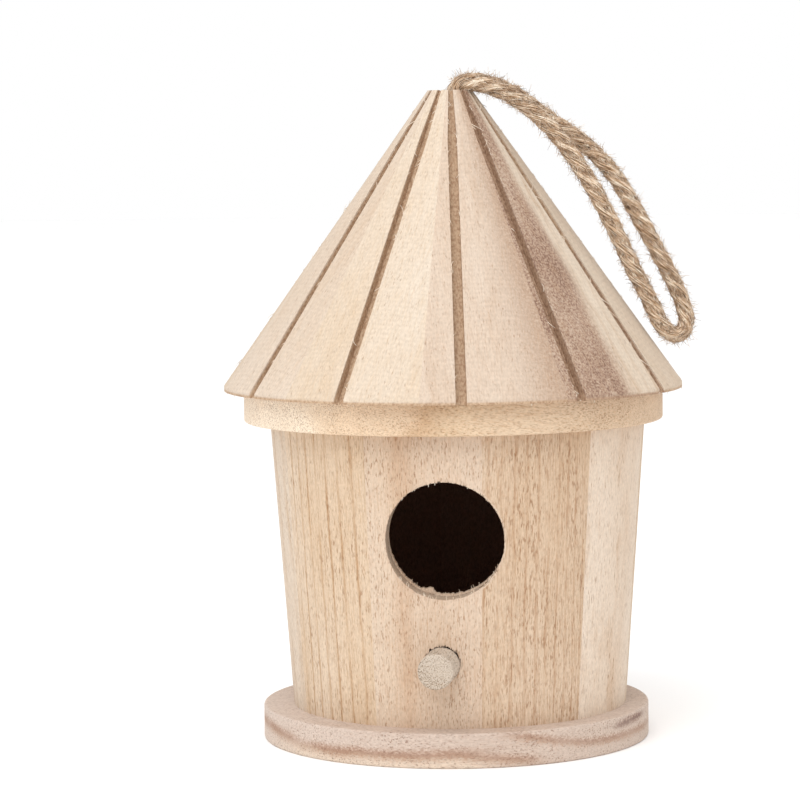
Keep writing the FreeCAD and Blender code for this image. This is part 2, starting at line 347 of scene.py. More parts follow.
def fuzzMesh(bed):
    rng = random.Random(5)
    outside = [b for b in bed if b[0].z > tipHeight or b[0].x > 6 * mm]
    hairs = []
    for group, share in (("lying", 1.1), ("hairs", 0.8), ("strays", 1.0)):
        hairs += fibreLines(rng, outside, *rope[group], share)
    mesh = tubesMesh("fuzz", hairs, rope["hairThickness"], 0)
    lay = mesh.attributes.new("strandLay", "FLOAT_VECTOR", "POINT")
    for v in mesh.vertices:
        lay.data[v.index].vector = (v.index // 25 * 0.37 * mm, 0, v.co.z)  # so that hairs differ in tone
    return mesh


def makeRope():
    points = ropeLine(rope["route"])
    bed = framesAlong(evenly(points, rope["step"]))
    whole = bmesh.new()
    whole.from_mesh(strandsMesh(bed))
    whole.from_mesh(fuzzMesh(bed))
    whole.normal_update()
    joined = bpy.data.meshes.new("rope")
    whole.to_mesh(joined)
    whole.free()
    for face in joined.polygons:
        face.use_smooth = True
    piece = addPiece("rope", joined, jute)
    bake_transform(piece)
    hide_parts("rope_loop", "rope_stem")
    [tuple(p) for p in evenly(points, 1 * mm)]


jute = juteMaterial()
makeRope()
for name in ("rope_knot", "rope_tails"):
    paint(nodes[name], jute)


# Paulownia: pale, soft, open-pored wood, sawn into staves, glued up and turned, then left raw

house = {  # the turned surfaces that the finishes and the torn edges follow, in mm
    "bodyMiddle": 1.05, "bodyFoot": 8.9, "footRadius": 43.8, "bodyFlare": 5.3 / 74.6,
    "entranceHeight": 56.63, "entranceRadius": 15.0, "perch": (-1.05, 25.27),
    "roofRim": 92.9, "rimRadius": 60, "roofTip": 169.3, "tipRadius": 5.8, "roofRun": 54.2, "roofRise": 76.4,
    "bodySeam": 11.6,  # degrees from the front to the seam between the first two staves
}
roofLean = 34.9  # degrees from upright, nearly along the roof's slope
bodyLean = -4.06  # along the body's wall

woodBasics = {
    "azimuth": 0.0,  # which way the board faces, degrees round from the front
    "lean": 0.0,  # degrees that its grain leans from upright
    "shift": 0.0,  # mm along the grain, so that no two boards are alike
    "pale": "#f0dcc4", "deep": "#e4cbae",  # early wood, and its slow drift of tone
    "ring": "#c69d6e", "ringGap": 3.6, "ringShow": 0.35, "wander": 1.6,
    "pith": (14.0, 70.0),  # mm from the board's middle to the tree's, across and in
    "pore": "#9a6a40", "poreShow": 0.6, "poreSize": (0.34, 0.34, 1.4), "poreFrom": 0.56,
    "fibreShow": 0.22, "fibreLong": 5.0, "waveSize": (7, 7, 17),
    "lineFrom": 0.62,  # where in a ring its late wood starts
    "across": 0.0,  # degrees that the grain leans sideways
    "ripple": 0.0, "rippleGap": 1.35,  # how strong the tool's lines are, and mm from one to the next
    "speckle": 0.0,  # mm that the nap breaks up a band's edge
    "middle": 0.0,  # mm that the piece's own axis is off the house's
    "light": 0.9,  # the whole finish, made lighter or darker
}


def woodMaterial(name, look):
    look = {**woodBasics, **look}
    made = newMaterial(name)
    tree = made.node_tree
    place = addNode(tree, "ShaderNodeTexCoord")
    centred = addNode(
        tree, "ShaderNodeVectorMath", {"operation": "SUBTRACT", 1: (look["middle"] * mm, 0, 0)},
        {0: place.outputs["Object"]},
    )
    faced = addNode(
        tree, "ShaderNodeMapping",
        {"Rotation": (0, 0, -math.radians(look["azimuth"])), "Scale": (1000, 1000, 1000)},
        {"Vector": centred},
    )
    grain = addNode(
        tree, "ShaderNodeMapping",
        {"Rotation": (math.radians(look["lean"]), math.radians(look["across"]), 0),
         "Location": (0, 0, look["shift"])},
        {"Vector": faced},
    )
    noises = grainNoises(tree, look, grain)
    colour = addRings(tree, look, grain, noises)
    if "heart" in look:
        colour = addHeart(tree, look, faced, noises, colour)
    if "bands" in look:
        colour = addBands(tree, look, centred, noises, colour)
    pores = poreMask(tree, look, noises)
    colour = addNode(
        tree, "ShaderNodeMix", {"data_type": "RGBA", "B": linear(look["pore"])},
        {"Factor": pores, "A": colour},
    )
    fibres = addNode(
        tree, "ShaderNodeMapRange", {"From Min": 0.46, "From Max": 0.7, "To Max": look["fibreShow"] * 1.5},
        {"Value": noises["fibre"]},
    )
    colour = addNode(
        tree, "ShaderNodeMix", {"data_type": "RGBA", "B": linear(look["ring"])},
        {"Factor": fibres, "A": colour},
    )
    napTone = addNode(
        tree, "ShaderNodeMapRange", {"From Min": 0.3, "From Max": 0.7, "To Min": 0.9, "To Max": 1.06},
        {"Value": noises["nap"]},
    )
    colour = addNode(tree, "ShaderNodeVectorMath", {"operation": "SCALE"}, {0: colour, "Scale": napTone})
    height = addNode(
        tree, "ShaderNodeMath", {"operation": "MULTIPLY_ADD", 1: -1.6}, {0: pores, 2: noises["fibre"]}
    )
    if look["ripple"]:
        colour, height = addRipple(tree, look, grain, noises, colour, height)
    # Painted shade in gaps round bored holes.
    for gap in look.get("gapShades", ()):
        colour = addGapShade(tree, gap, centred, noises, colour)
    if "hollows" in look:
        colour = addHollowScorchAndShade(tree, look, centred, noises, colour)
    colour = addNode(
        tree, "ShaderNodeVectorMath", {"operation": "SCALE", "Scale": look["light"]}, {0: colour}
    )
    rough = addNode(
        tree, "ShaderNodeMapRange", {"From Min": 0.3, "From Max": 0.7, "To Min": 0.86, "To Max": 0.68},
        {"Value": noises["fibre"]},
    )
    bump = addNode(tree, "ShaderNodeBump", {"Strength": 0.45, "Distance": 0.12 * mm}, {"Height": height})
    shader = addNode(
        tree, "ShaderNodeBsdfPrincipled", {"IOR": 1.5, "Specular IOR Level": 0.3},
        {"Base Color": colour, "Roughness": rough, "Normal": bump},
    )
    addNode(tree, "ShaderNodeOutputMaterial", {}, {"Surface": shader})
    return made


def grainNoises(tree, look, grain):
    # Each noise's size in mm, across the grain twice and along it, and its detail.
    sizes = {
        "drift": ((17, 17, 70), 2.0),
        "wave": (look["waveSize"], 3.0),
        "fibre": ((0.34, 0.34, look["fibreLong"]), 3.0),
        "pores": (look["poreSize"], 2.0),
        "patches": ((6, 6, 26), 2.0),
        "nap": ((0.5, 0.5, 0.9), 2.0),
    }
    noises = {}
    for part, (size, detail) in sizes.items():
        stretched = addNode(tree, "ShaderNodeMapping", {"Scale": [1 / s for s in size]}, {"Vector": grain})
        noises[part] = addNode(
            tree, "ShaderNodeTexNoise", {"Scale": 1.0, "Detail": detail}, {"Vector": stretched}
        )
    return noises


def addRings(tree, look, grain, noises):
    # Year rings round the pith, a little uneven, over the early wood's slow drift of tone.
    wandering = addNode(
        tree, "ShaderNodeVectorMath", {"operation": "MULTIPLY_ADD", 1: (look["wander"] * 2,) * 3},
        {0: noises["wave"].outputs["Color"], 2: grain},
    )
    fromPith = addNode(
        tree, "ShaderNodeMapping",
        {"Location": (-look["pith"][0], -look["pith"][1], 0), "Scale": (1, 1, 0)}, {"Vector": wandering},
    )
    distance = addNode(tree, "ShaderNodeVectorMath", {"operation": "LENGTH"}, {0: fromPith})
    rings = addNode(
        tree, "ShaderNodeMath", {"operation": "DIVIDE", 1: look["ringGap"]}, {0: distance.outputs["Value"]}
    )
    within = addNode(tree, "ShaderNodeMath", {"operation": "FRACT"}, {0: rings})
    line = addNode(
        tree, "ShaderNodeValToRGB",
        {"stops": [(0.0, "#6a6a6a"), (0.1, "#000000"), (look["lineFrom"], "#101010"), (0.92, "#ffffff"),
                   (1.0, "#6a6a6a")]},
        {"Fac": within},
    )
    uneven = addNode(
        tree, "ShaderNodeMapRange",
        {"From Min": 0.3, "From Max": 0.66,
         "To Min": 0.15 * look["ringShow"], "To Max": 1.5 * look["ringShow"]},
        {"Value": noises["patches"]},
    )
    show = addNode(tree, "ShaderNodeMath", {"operation": "MULTIPLY", "use_clamp": True}, {0: line, 1: uneven})
    drift = addNode(
        tree, "ShaderNodeValToRGB", {"stops": [(0.34, look["pale"]), (0.66, look["deep"])]},
        {"Fac": noises["drift"]},
    )
    return addNode(
        tree, "ShaderNodeMix", {"data_type": "RGBA", "B": linear(look["ring"])}, {"Factor": show, "A": drift}
    )


def poreMask(tree, look, noises):
    # Short dark pores, fewer in some places than in others.
    pores = addNode(
        tree, "ShaderNodeMapRange",
        {"From Min": look["poreFrom"], "From Max": look["poreFrom"] + 0.12, "To Max": look["poreShow"]},
        {"Value": noises["pores"]},
    )
    here = addNode(
        tree, "ShaderNodeMapRange", {"From Min": 0.4, "From Max": 0.62, "To Min": 0.5, "To Max": 1.0},
        {"Value": noises["patches"]},
    )
    return addNode(tree, "ShaderNodeMath", {"operation": "MULTIPLY"}, {0: pores, 1: here})


def addRipple(tree, look, grain, noises, colour, height):
    # Lines left by the turning tool, round the piece.
    steps = addNode(tree, "ShaderNodeSeparateXYZ", {}, {0: grain})
    turns = addNode(
        tree, "ShaderNodeMath", {"operation": "MULTIPLY_ADD", 1: math.tau / look["rippleGap"]},
        {0: steps.outputs["Z"], 2: noises["drift"]},
    )
    ripple = addNode(tree, "ShaderNodeMath", {"operation": "SINE"}, {0: turns})
    height = addNode(
        tree, "ShaderNodeMath", {"operation": "MULTIPLY_ADD", 1: 0.2 * look["ripple"]}, {0: ripple, 2: height}
    )
    tone = addNode(
        tree, "ShaderNodeMapRange",
        {"From Min": -1.0, "From Max": 1.0, "To Min": 1 - 0.025 * look["ripple"], "To Max": 1.0},
        {"Value": ripple},
    )
    colour = addNode(tree, "ShaderNodeVectorMath", {"operation": "SCALE"}, {0: colour, "Scale": tone})
    return colour, height


def addHollowScorchAndShade(tree, look, centred, noises, colour):
    # Faces under the turned surface: the saw cuts are scorched and rough, with painted shade on top; the
    # chamber's inside is darkened with painted shade only.
    hollows = look["hollows"]
    parts = addNode(tree, "ShaderNodeSeparateXYZ", {}, {0: centred})
    flat = addNode(tree, "ShaderNodeVectorMath", {"operation": "MULTIPLY", 1: (1, 1, 0)}, {0: centred})
    radius = addNode(tree, "ShaderNodeVectorMath", {"operation": "LENGTH"}, {0: flat})
    surface = addNode(
        tree, "ShaderNodeMath",
        {"operation": "MULTIPLY_ADD", 1: hollows["slope"], 2: hollows["radius"] * mm},
        {0: parts.outputs["Z"]},
    )
    under = addNode(
        tree, "ShaderNodeMath", {"operation": "SUBTRACT"}, {0: surface, 1: radius.outputs["Value"]}
    )
    for start, end, tone, show in hollows["layers"]:
        mask = addNode(
            tree, "ShaderNodeMapRange", {"From Min": start * mm, "From Max": end * mm, "To Max": show},
            {"Value": under},
        )
        if "hole" in hollows:
            # The bore through the wall keeps its own colour.
            fromHole = addNode(
                tree, "ShaderNodeVectorMath", {"operation": "SUBTRACT", 1: (0, 0, hollows["hole"][0] * mm)},
                {0: centred},
            )
            across = addNode(
                tree, "ShaderNodeVectorMath", {"operation": "MULTIPLY", 1: (1, 0, 1)}, {0: fromHole}
            )
            away = addNode(tree, "ShaderNodeVectorMath", {"operation": "LENGTH"}, {0: across})
            outside = addNode(
                tree, "ShaderNodeMapRange",
                {"From Min": hollows["hole"][1] * mm, "From Max": (hollows["hole"][1] + 0.1) * mm},
                {"Value": away.outputs["Value"]},
            )
            mask = addNode(tree, "ShaderNodeMath", {"operation": "MULTIPLY"}, {0: mask, 1: outside})
        # Two tones of painted shade (with scorch on the saw cuts), broken up by the nap.
        rough = addNode(
            tree, "ShaderNodeValToRGB", {"stops": [(0.35, tone[0]), (0.6, tone[1])]}, {"Fac": noises["nap"]}
        )
        colour = addNode(
            tree, "ShaderNodeMix", {"data_type": "RGBA"}, {"Factor": mask, "A": colour, "B": rough}
        )
    return colour


def addBands(tree, look, centred, noises, colour):
    # Broad bands that cross a board's face or edge; each runs from one place to another, in mm.
    for band in look["bands"]:
        along = addNode(
            tree, "ShaderNodeVectorMath", {"operation": "DOT_PRODUCT", 1: [1000 * d for d in band["along"]]},
            {0: centred},
        )
        uneven = addNode(
            tree, "ShaderNodeMath", {"operation": "MULTIPLY_ADD", 1: band["ragged"]},
            {0: noises["wave"], 2: along.outputs["Value"]},
        )
        uneven = addNode(
            tree, "ShaderNodeMath", {"operation": "MULTIPLY_ADD", 1: look["speckle"]},
            {0: noises["nap"], 2: uneven},
        )
        shift = (band["ragged"] + look["speckle"]) / 2
        part = addNode(
            tree, "ShaderNodeMapRange", {"From Min": band["from"] + shift, "From Max": band["to"] + shift},
            {"Value": uneven},
        )
        tones = addNode(tree, "ShaderNodeValToRGB", {"stops": band["tones"]}, {"Fac": part})
        show = addNode(
            tree, "ShaderNodeMapRange",
            {"From Min": 0.35, "From Max": 0.65, "To Min": band["show"] * 0.75, "To Max": band["show"]},
            {"Value": noises["patches"]},
        )
        if "near" in band:
            # Only round one place: (x, y, z) and how far it reaches each way.
            place, reach = band["near"]
            away = addNode(
                tree, "ShaderNodeVectorMath", {"operation": "SUBTRACT", 1: [c * mm for c in place]},
                {0: centred},
            )
            scaled = addNode(
                tree, "ShaderNodeVectorMath", {"operation": "MULTIPLY", 1: [1000 / r for r in reach]},
                {0: away},
            )
            far = addNode(tree, "ShaderNodeVectorMath", {"operation": "LENGTH"}, {0: scaled})
            here = addNode(
                tree, "ShaderNodeMapRange",
                {"interpolation_type": "SMOOTHSTEP", "From Min": 1.0, "From Max": 0.4},
                {"Value": far.outputs["Value"]},
            )
            show = addNode(tree, "ShaderNodeMath", {"operation": "MULTIPLY"}, {0: show, 1: here})
        mask = addNode(
            tree, "ShaderNodeMath", {"operation": "MULTIPLY"}, {0: show, 1: tones.outputs["Alpha"]}
        )
        colour = addNode(
            tree, "ShaderNodeMix", {"data_type": "RGBA"}, {"Factor": mask, "A": colour, "B": tones}
        )
    return colour


def addGapShade(tree, look, centred, noises, colour):
    # Painted shade in the gap and splits round a bored hole, longest along the grain, on one side of it.
    x, z = look["middle"]
    away = addNode(
        tree, "ShaderNodeVectorMath", {"operation": "SUBTRACT", 1: (x * mm, 0, z * mm)}, {0: centred}
    )
    across = addNode(tree, "ShaderNodeVectorMath", {"operation": "MULTIPLY", 1: (1000, 0, 1000)}, {0: away})
    far = addNode(tree, "ShaderNodeVectorMath", {"operation": "LENGTH"}, {0: across})
    shadeReach = addNode(
        tree, "ShaderNodeMath", {"operation": "MULTIPLY_ADD", 1: -look["ragged"]},
        {0: noises["fibre"], 2: far.outputs["Value"]},
    )
    edge = look["radius"] - look["ragged"] / 2
    gap = addNode(
        tree, "ShaderNodeMapRange",
        {"From Min": edge + look["wide"], "From Max": edge + look["wide"] - 0.2, "To Max": look["show"]},
        {"Value": shadeReach},
    )
    side = addNode(tree, "ShaderNodeVectorMath", {"operation": "DOT_PRODUCT", 1: look["side"]}, {0: across})
    here = addNode(
        tree, "ShaderNodeMapRange", {"From Min": -0.5, "From Max": 2.5}, {"Value": side.outputs["Value"]}
    )
    mask = addNode(tree, "ShaderNodeMath", {"operation": "MULTIPLY"}, {0: gap, 1: here})
    # Near-black brown: painted shade in the gap.
    return addNode(
        tree, "ShaderNodeMix", {"data_type": "RGBA", "B": linear("#2c1a10")}, {"Factor": mask, "A": colour}
    )


def addHeart(tree, look, faced, noises, sapwood):
    # Heartwood: purple-brown and mottled, between two angles round the roof.
    heart = look["heart"]
    parts = addNode(tree, "ShaderNodeSeparateXYZ", {}, {0: faced})
    front = addNode(tree, "ShaderNodeMath", {"operation": "MULTIPLY", 1: -1.0}, {0: parts.outputs["Y"]})
    angle = addNode(tree, "ShaderNodeMath", {"operation": "ARCTAN2"}, {0: parts.outputs["X"], 1: front})
    uneven = addNode(
        tree, "ShaderNodeMath", {"operation": "MULTIPLY_ADD", 1: math.radians(heart["ragged"])},
        {0: noises["patches"], 2: angle},
    )
    masks = []
    for start, end in (heart["from"], heart["to"]):
        low, high = [math.radians(edge + heart["ragged"] / 2) for edge in (start, end)]
        masks.append(addNode(
            tree, "ShaderNodeMapRange",
            {"interpolation_type": "SMOOTHSTEP", "From Min": low, "From Max": high}, {"Value": uneven},
        ))
    beyond = addNode(tree, "ShaderNodeMath", {"operation": "SUBTRACT", 0: 1.0}, {1: masks[1]})
    both = addNode(tree, "ShaderNodeMath", {"operation": "MULTIPLY"}, {0: masks[0], 1: beyond})
    mottle = addNode(tree, "ShaderNodeMapping", {"Scale": (2.1, 2.1, 1.4)}, {"Vector": faced})
    spots = addNode(
        tree, "ShaderNodeTexNoise", {"Scale": 1.0, "Detail": 3.0, "Roughness": 0.6}, {"Vector": mottle}
    )
    cloud = addNode(
        tree, "ShaderNodeMapRange", {"From Min": 0.35, "From Max": 0.65, "To Min": -0.07, "To Max": 0.07},
        {"Value": noises["patches"]},
    )
    shade = addNode(tree, "ShaderNodeMath", {"operation": "ADD"}, {0: spots, 1: cloud})
    tone = addNode(
        tree, "ShaderNodeValToRGB",
        {"stops": [(0.34, heart["dark"]), (0.5, heart["middle"]), (0.66, heart["light"])]}, {"Fac": shade},
    )
    return addNode(tree, "ShaderNodeMix", {"data_type": "RGBA"}, {"Factor": both, "A": sapwood, "B": tone})


# Painted shade at the entrance hole's torn edge.
entranceGapShade = {
    "middle": (0, house["entranceHeight"]), "radius": house["entranceRadius"],
    "ragged": 2.4, "wide": 0.0, "show": 0.9,
}

# One look for each stave, numbered round from the front towards +X.
bodyStaves = {
    1: {"pale": "#edd6bf", "deep": "#e3c8ae", "ring": "#c4936a", "ringGap": 5.2, "ringShow": 0.2,
        "pith": (-22, 60),
        "poreShow": 0.75, "fibreShow": 0.22,
        # Painted shade in the perch's socket gap and round the entrance hole.
        "gapShades": [
            {"middle": house["perch"], "radius": 4.65, "ragged": 3.0, "wide": 0.25, "show": 1.0,
             "side": (0.2, 0, 0.8)},
            {**entranceGapShade, "side": (0.05, 0, 0.3)},
        ],
        "bands": [{"along": (1, 0, 0.03), "from": -18, "to": 10, "ragged": 3, "show": 0.4,
                   "tones": [(0.0, "#ead6bf"), (0.18, "#e8cfb4"), (0.3, "#d0a885"), (0.42, "#e3c9b0"),
                             (0.8, "#ecd5bf")]}]},
    2: {"pale": "#e9cfb4", "deep": "#dfc0a0", "ring": "#b07d50", "ringGap": 2.1, "ringShow": 0.34,
        "pith": (70, 30),
        "poreShow": 0.7, "poreSize": (0.32, 0.32, 1.8), "fibreShow": 0.3, "wander": 0.6, "poreFrom": 0.54,
        "lineFrom": 0.7,
        "gapShades": [{**entranceGapShade, "side": (0.3, 0, 0.1)}]},
    3: {"pale": "#f6e3cf", "deep": "#efd9c2", "ring": "#cda074", "ringGap": 3.4, "ringShow": 0.22,
        "poreShow": 0.7, "poreFrom": 0.59, "poreSize": (0.34, 0.34, 2.2), "fibreShow": 0.16, "lineFrom": 0.7},
    4: {"pale": "#ecd8c0", "deep": "#e2c8aa", "ring": "#c49a6b", "ringGap": 3.0, "ringShow": 0.3},
    5: {"pale": "#efdcc6", "deep": "#e5ccb0", "ring": "#c79f72", "ringGap": 5.0, "ringShow": 0.34,
        "pith": (-8, 50)},
    6: {"pale": "#e7cfb4", "deep": "#dcbd9b", "ring": "#b98c5e", "ringGap": 2.4, "ringShow": 0.4,
        "pith": (60, 40)},
    7: {"pale": "#f0deca", "deep": "#e8d1b6", "ring": "#cba479", "ringGap": 4.2, "ringShow": 0.22},
    8: {"pale": "#ead3b9", "deep": "#dfc3a3", "ring": "#bf9263", "ringGap": 3.4, "ringShow": 0.42,
        "pith": (-40, 60)},
    9: {"pale": "#f0dfcc", "deep": "#e9d5bf", "ring": "#c89d6c", "ringGap": 3.8, "ringShow": 0.3,
        "pith": (-60, 36),
        "fibreShow": 0.18},
    10: {"pale": "#f0dac1", "deep": "#e8cdaf", "ring": "#b4824c", "ringGap": 3.1, "ringShow": 0.5,
         "pith": (-90, 24), "wander": 0.4, "poreShow": 0.6, "poreSize": (0.34, 0.34, 1.8), "fibreShow": 0.22,
         "waveSize": (4, 4, 12), "lineFrom": 0.76},
}
roofStaves = {
    1: {"pale": "#f4e3cf", "deep": "#efdac2", "ring": "#d9b27f", "ringGap": 5.5, "ringShow": 0.14,
        "pith": (30, 60)},
    2: {"pale": "#efdcc9", "deep": "#e8d1bb", "ring": "#c9a07a", "ringGap": 4.5, "ringShow": 0.16,
        "pith": (50, 45),
        "heart": {"from": (1.0, 20), "to": (40, 50), "ragged": 5, "dark": "#c0a087", "middle": "#ccae96",
                  "light": "#d8bea7"}},
    3: {"pale": "#f0dec9", "deep": "#e9d3ba", "ring": "#c69c70", "ringGap": 2.6, "ringShow": 0.26,
        "pith": (70, 30),
        "heart": {"from": (-40, -30), "to": (-1, 7), "ragged": 6, "dark": "#937260", "middle": "#c0a18b",
                  "light": "#d8bfa9"},
        "saw": ("#a58268", "#caa98d")},
    4: {"pale": "#efddc8", "deep": "#e8d2ba", "ring": "#c39a6d", "ringGap": 3.2, "ringShow": 0.24},
    5: {"pale": "#f1dfc9", "deep": "#ead3b8", "ring": "#cda578", "ringGap": 5.0, "ringShow": 0.24,
        "pith": (-16, 50)},
    6: {"pale": "#ead5bd", "deep": "#e0c7aa", "ring": "#bd9467", "ringGap": 2.8, "ringShow": 0.3,
        "pith": (66, 36)},
    7: {"pale": "#f2e1cb", "deep": "#ecd6bb", "ring": "#d3ab7d", "ringGap": 4.4, "ringShow": 0.2},
    8: {"pale": "#eddac4", "deep": "#e4ccb2", "ring": "#c69d72", "ringGap": 3.6, "ringShow": 0.26,
        "pith": (-44, 52)},
    9: {"pale": "#efddc8", "deep": "#e7d0b6", "ring": "#caa276", "ringGap": 4.8, "ringShow": 0.22,
        "pith": (-30, 60)},
    10: {"pale": "#f1dfcc", "deep": "#ebd6c0", "ring": "#d2aa7e", "ringGap": 5.2, "ringShow": 0.12,
         "pith": (-50, 50)},
}
staves = {  # degrees from one to the next and to the first one's middle, and mm between their grain
    "turn": 36.0, "bodyFirst": -6.4, "roofFirst": -21.5, "bodyShift": 173.0, "roofShift": 211.0,
}

# How each surface's radius grows upwards, and its layers: from and to how deep in mm, two tones, how much.
bodyHollows = {
    "slope": house["bodyFlare"], "radius": house["footRadius"] - house["bodyFoot"] * house["bodyFlare"],
    # The chamber's inner faces: painted shade, dark brown.
    "layers": [(6.5, 7.5, ("#7a5543", "#8f6653"), 1.0)],
}
roofHollows = {
    "slope": -house["roofRun"] / house["roofRise"],
    "radius": house["rimRadius"] + house["roofRim"] * house["roofRun"] / house["roofRise"],
    # Groove floors and walls: saw scorch and painted shade together.
    "layers": [(0.25, 0.6, ("#b69172", "#dabb9b"), 0.95)],
}
bodyFinish = {"lean": bodyLean, "light": 0.785, "middle": house["bodyMiddle"], "hollows": bodyHollows}
frontHollows = {**bodyHollows, "hole": (house["entranceHeight"], house["entranceRadius"] + 0.06)}
roofFinish = {
    "lean": roofLean, "light": 0.755, "ripple": 1.5, "hollows": roofHollows,
    "poreShow": 0.5, "poreSize": (0.32, 0.32, 1.4), "poreFrom": 0.6, "fibreShow": 0.16,
}
for number, look in bodyStaves.items():
    facing = staves["bodyFirst"] + staves["turn"] * (number - 1)
    finish = {**bodyFinish, **look, "azimuth": facing, "shift": number * staves["bodyShift"]}
    if number <= 2:
        finish["hollows"] = frontHollows
    paint(nodes[f"body_stave_{number:02d}"], woodMaterial(f"paulownia_body_{number:02d}", finish))
for number, look in roofStaves.items():
    facing = staves["roofFirst"] + staves["turn"] * (number - 1)
    finish = {**roofFinish, **look, "azimuth": facing, "shift": number * staves["roofShift"]}
    # Stave 3's deeper groove gets darker tones: scorch with painted shade for its shaded wall.
    if "saw" in look:
        finish["hollows"] = {**roofHollows, "layers": [(0.25, 0.6, look["saw"], 0.95)]}
    paint(nodes[f"roof_stave_{number:02d}"], woodMaterial(f"paulownia_roof_{number:02d}", finish))

stripe = [(0.0, "#c4a38c00"), (0.36, "#ba9880"), (0.52, "#a78169"), (0.66, "#bb9a85"), (1.0, "#caae9a00")]
discs = {
    "base_disc": {
        "pale": "#dccabe", "deep": "#cfbbad", "ring": "#a98672", "ringGap": 5.0, "ringShow": 0.3,
        "pith": (-30, -38), "across": 90, "azimuth": 9, "wander": 4.0, "waveSize": (16, 16, 30),
        "pore": "#8c6a57", "poreShow": 0.8, "poreSize": (0.36, 0.36, 0.8), "speckle": 3.0, "light": 0.86,
        "bands": [
            {"along": (1, 0, 0), "from": -52, "to": 52, "ragged": 8, "show": 0.75,
             "tones": [(0.0, "#e6d6c9"), (0.35, "#dfccbd"), (0.6, "#d8c3b2"), (1.0, "#d9c6b6")]},
            {"along": (0.02, 0, 1), "from": 0, "to": 6.4, "ragged": 2.2, "show": 0.85,
             "near": ((-16, -46, 0.8), (44, 60, 6.5)),
             "tones": [(0.0, "#ecd9c4"), (0.4, "#e8d2bb"), (0.55, "#e3cab400")]},
            {"along": (0.14, 0, 1), "from": -3.6, "to": 0.8, "ragged": 1.4, "show": 0.85,
             "near": ((-46, -24, 4.8), (13, 40, 5)), "tones": stripe},
            {"along": (-0.02, 0, 1), "from": 1.8, "to": 6.0, "ragged": 2.6, "show": 1.0,
             "near": ((-16, -47, 3.6), (34, 30, 7)), "tones": stripe},
            {"along": (0.125, 0, 1), "from": 2.2, "to": 6.0, "ragged": 1.6, "show": 0.8,
             "near": ((13, -48, 2.5), (17, 30, 5)), "tones": stripe},
            {"along": (0.2, 0, 1), "from": 9.8, "to": 13.2, "ragged": 1.6, "show": 0.8,
             "near": ((27, -42, 6.2), (17, 34, 6)), "tones": stripe},
            {"along": (0, 0, 1), "from": 2.4, "to": 5.8, "ragged": 2.0, "show": 0.8,
             "near": ((44, -22, 4.2), (14, 34, 4)), "tones": stripe},
            {"along": (-0.16, 0, 1), "from": -1.8, "to": 1.4, "ragged": 1.2, "show": 0.95,
             "near": ((46.5, -20, 7.2), (8, 14, 2.6)),
             "tones": [(0.0, "#a9867200"), (0.4, "#76564c"), (0.6, "#7f5f54"), (1.0, "#a9867200")]},
        ],
    },
    "ceiling_plate": {
        "pale": "#ecd5ba", "deep": "#dcc0a0", "ring": "#b08357", "ringGap": 3.4, "ringShow": 0.3,
        "pith": (6, 30), "across": 84, "azimuth": 24, "wander": 2.0, "poreShow": 0.7, "light": 1.0,
        "poreSize": (0.32, 0.32, 1.0), "poreFrom": 0.53, "pore": "#946d4c",
        "bands": [{"along": (1, 0, -0.5), "from": -110, "to": 16, "ragged": 9, "show": 0.85,
                   "tones": [(0.0, "#fbeedc"), (0.26, "#f9ead4"), (0.33, "#e8cfb2"), (0.45, "#e0c6a9"),
                             (0.5, "#c7a582"), (0.56, "#d3b898"), (0.76, "#d7bea2"), (0.88, "#d2b89c"),
                             (1.0, "#d6bda3")]}],
    },
    "perch_dowel": {
        "pale": "#e6d8c8", "deep": "#d9c7b4", "ring": "#b3977a", "ringGap": 1.6, "ringShow": 0.2,
        "lean": 90, "poreShow": 0.9, "poreSize": (0.34, 0.34, 2.0), "poreFrom": 0.5, "pore": "#8a735c",
        "pith": (3, 5), "light": 0.77,
    },
}
for name, look in discs.items():
    paint(nodes[name], woodMaterial("paulownia_" + name, look))
print("wood finished")


# Torn wood: the entrance's chipped rims, and fibres that the saw left along the roof's cuts

entranceRims = {
    "segments": 320,
    # Rings of each rim: mm wider than the hole, mm into the wall, and share of the tear.
    "front": [(0.5, 0.03, 0.0), (0.2, -0.03, 0.2), (0.0, 0.12, 1.0), (0.05, 1.3, 0.0)],
    "back": [(0.05, 7.4, 0.0), (0.0, 8.7, 0.75), (0.0, 9.2, 1.0), (0.05, 9.9, 0.0)],
}
grooves = {
    "count": 12, "first": 6.4,  # degrees from the front
    "shoulder": 0.165,  # share of the slope, down from the tip, where the grooves stop widening fast
    "halfWidths": (0.35, 1.2, 1.4),  # mm at the tip, at the shoulder and at the eaves
}
splinters = {
    "thickness": 0.09 * mm,
    "perGroove": 20, "eaves": 60, "entrance": 70,
    "eavesPlace": (59.9, 92.0),  # radius and height in mm
    "depths": (0.3, 8.9),  # mm into the wall, at its outer and its inner face
    "finish": {"pale": "#faf0e2", "deep": "#efdfca", "light": 0.92, "poreShow": 0.1},
}


def bodyFace(x, z):
    # The body's outer face at x and z, in mm.
    radius = bodyHollows["radius"] + bodyHollows["slope"] * z
    return -math.sqrt(radius ** 2 - (x - house["bodyMiddle"]) ** 2)


def tearAt(turn, rim):
    # How far the torn edge reaches into the hole, in mm, by the angle round it.
    rough = noise.noise(Vector((math.cos(turn) * 9, math.sin(turn) * 9, 3.1 if rim == "front" else 8.7)))
    fine = noise.noise(Vector((math.cos(turn) * 31, math.sin(turn) * 31, 1.7)))
    low = max(0.0, -math.sin(turn + 0.2)) ** 2
    if rim == "front":
        return 0.07 + 0.22 * max(0.0, rough) + 0.16 * fine + 0.14 * low
    return 0.15 + low * (0.5 + 1.5 * max(0.0, rough) + 0.5 * fine)


